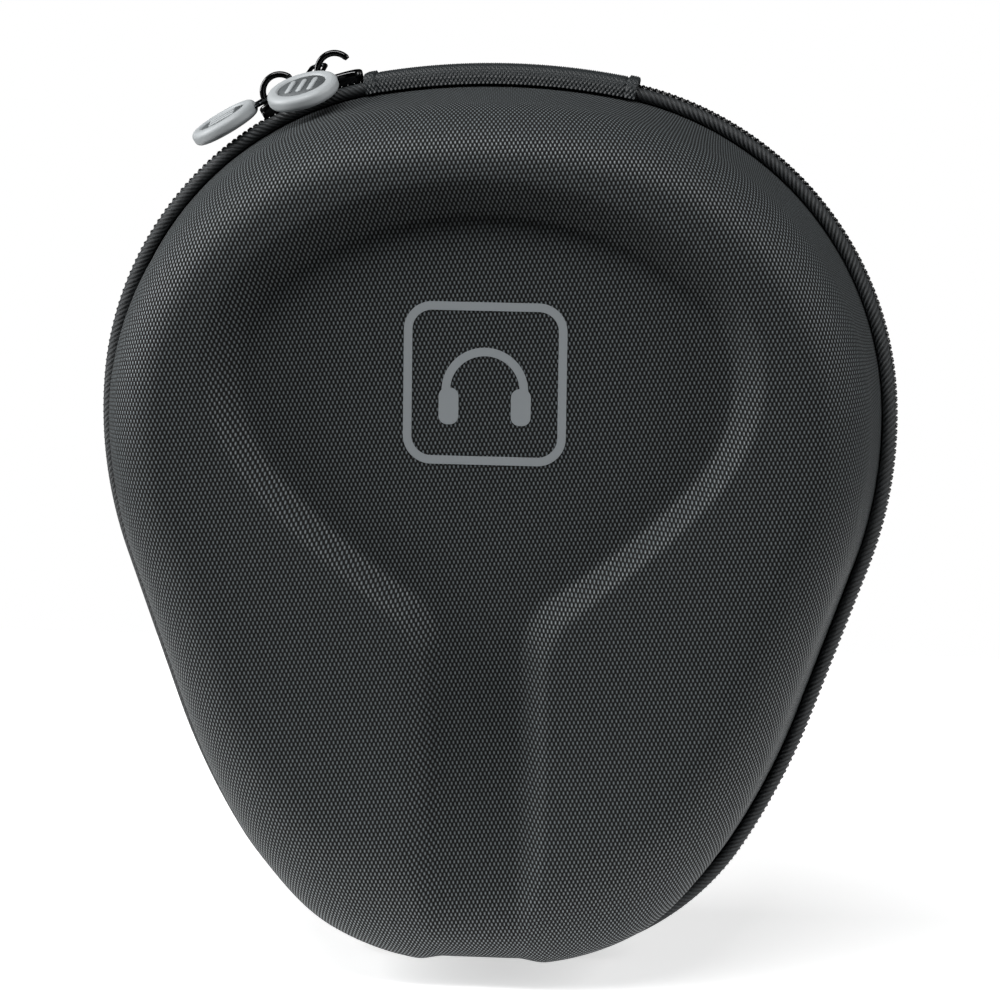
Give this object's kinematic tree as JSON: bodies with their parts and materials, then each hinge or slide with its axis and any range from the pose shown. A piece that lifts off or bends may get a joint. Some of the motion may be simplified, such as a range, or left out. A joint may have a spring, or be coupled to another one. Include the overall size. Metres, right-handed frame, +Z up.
{
  "type": "headphone carrying case",
  "caption": "Egg-shaped moulded clamshell case for over-ear headphones, zipped round its edge, with a webbing hinge on top.",
  "frame": {"origin": "on the floor under the middle of the case, at the parting plane", "axes": "+X to the right, +Y to the rear, +Z up; the badge faces -Y"},
  "size_m": [0.2348, 0.112, 0.2673],
  "materials": {
    "shell_cloth": "coarse ballistic nylon, plain weave, laminated to moulded foam",
    "lining_cloth": "brushed knit, matt",
    "tape_cloth": "woven polyester zip tape",
    "piping_cloth": "bias-cut twill round a cord",
    "binding_cloth": "woven polyester binding",
    "webbing_cloth": "heavy nylon webbing, folded and stitched at its ends",
    "coil_nylon": "drawn nylon monofilament, glossy",
    "slider_metal": "die-cast zinc, glossy black plating",
    "tab_metal": "pressed steel, black plating",
    "disc_rubber": "moulded soft PVC, satin grey",
    "inlay_rubber": "moulded soft PVC, dark grey",
    "badge_ink": "screen-printed grey ink"
  },
  "bodies": {
    "front_half": {"front_shell": "shell_cloth", "front_lining": "lining_cloth", "front_zip_tape": "tape_cloth", "front_zip_coil": "coil_nylon", "front_piping": "piping_cloth", "front_binding": "binding_cloth", "front_webbing": "webbing_cloth", "badge_print": "badge_ink"},
    "back_half": {"back_shell": "shell_cloth", "back_lining": "lining_cloth", "back_zip_tape": "tape_cloth", "back_zip_coil": "coil_nylon", "back_piping": "piping_cloth", "back_binding": "binding_cloth", "back_webbing": "webbing_cloth"},
    "slider_a": {"slider_a_body": "slider_metal", "slider_a_hook": "slider_metal"},
    "slider_b": {"slider_b_body": "slider_metal", "slider_b_hook": "slider_metal"},
    "puller_a": {"pull_tab_a": "tab_metal", "pull_disc_a": "disc_rubber", "pull_inlay_a": "inlay_rubber"},
    "puller_b": {"pull_tab_b": "tab_metal", "pull_disc_b": "disc_rubber", "pull_inlay_b": "inlay_rubber"}
  },
  "joints": [
    {"name": "back_half_opening", "type": "hinge", "parent": "front_half", "child": "back_half", "pos_m": [0, 0, 0.2643], "axis": [1, 0, 0], "range_deg": [0, 170]},
    {"name": "slider_b_travel", "type": "hinge", "parent": "front_half", "child": "slider_b", "pos_m": [-0.01841, 0, 0.16339], "axis": [0, -1, 0], "range_deg": [0, 32]},
    {"name": "slider_a_travel", "type": "hinge", "parent": "slider_b", "child": "slider_a", "pos_m": [-0.01841, 0, 0.16339], "axis": [0, -1, 0], "range_deg": [0, 32]},
    {"name": "puller_a_swing", "type": "hinge", "parent": "slider_a", "child": "puller_a", "pos_m": [-0.06467, 0, 0.25497], "axis": [0, 1, 0], "range_deg": [0, 115]},
    {"name": "puller_b_swing", "type": "hinge", "parent": "slider_b", "child": "puller_b", "pos_m": [-0.05384, 0, 0.26165], "axis": [-1, 0, 0], "range_deg": [0, 65]}
  ]
}
